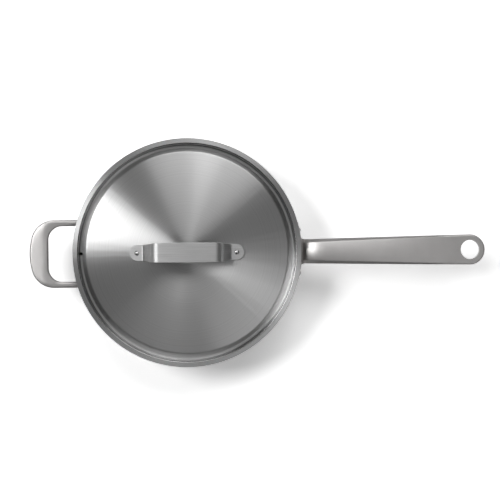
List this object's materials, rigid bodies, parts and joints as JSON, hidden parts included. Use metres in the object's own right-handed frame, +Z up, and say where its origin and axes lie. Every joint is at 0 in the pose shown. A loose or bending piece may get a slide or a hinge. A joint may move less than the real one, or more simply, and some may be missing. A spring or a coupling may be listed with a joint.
{
  "type": "saute pan with lid",
  "caption": "Straight-sided steel saute pan with a long riveted handle, a looped helper handle opposite, and a lift-off domed lid with a strap handle.",
  "frame": {"origin": "centre of the flat base, on the surface that the pan stands on", "axes": "+X along the long handle, +Y across the pan, which is up in the picture, +Z up out of the pan"},
  "size_m": [0.5691, 0.2858, 0.1041],
  "materials": {
    "outer_ply_steel": "stainless steel, brushed round the pan",
    "core_aluminium": "bare bonded core, seen only as a line on the rim",
    "inner_ply_steel": "stainless steel, brushed in circles",
    "cast_handle_steel": "cast stainless steel, satin",
    "rivet_steel": "stainless steel, smooth",
    "lid_steel": "stainless steel, brushed in circles",
    "strap_steel": "stainless steel, brushed lengthwise"
  },
  "bodies": {
    "pan": {"pan_outer_ply": "outer_ply_steel", "pan_core": "core_aluminium", "pan_inner_ply": "inner_ply_steel", "long_handle": "cast_handle_steel", "long_handle_rivets": "rivet_steel", "helper_handle": "cast_handle_steel", "helper_handle_rivets": "rivet_steel"},
    "lid": {"lid_shell": "lid_steel", "lid_handle": "strap_steel", "lid_handle_rivets": "rivet_steel"}
  },
  "joints": [
    {"name": "lid_lift", "type": "slide", "parent": "pan", "child": "lid", "axis": [0, 0, 1], "range_m": [0, 0.15]}
  ]
}
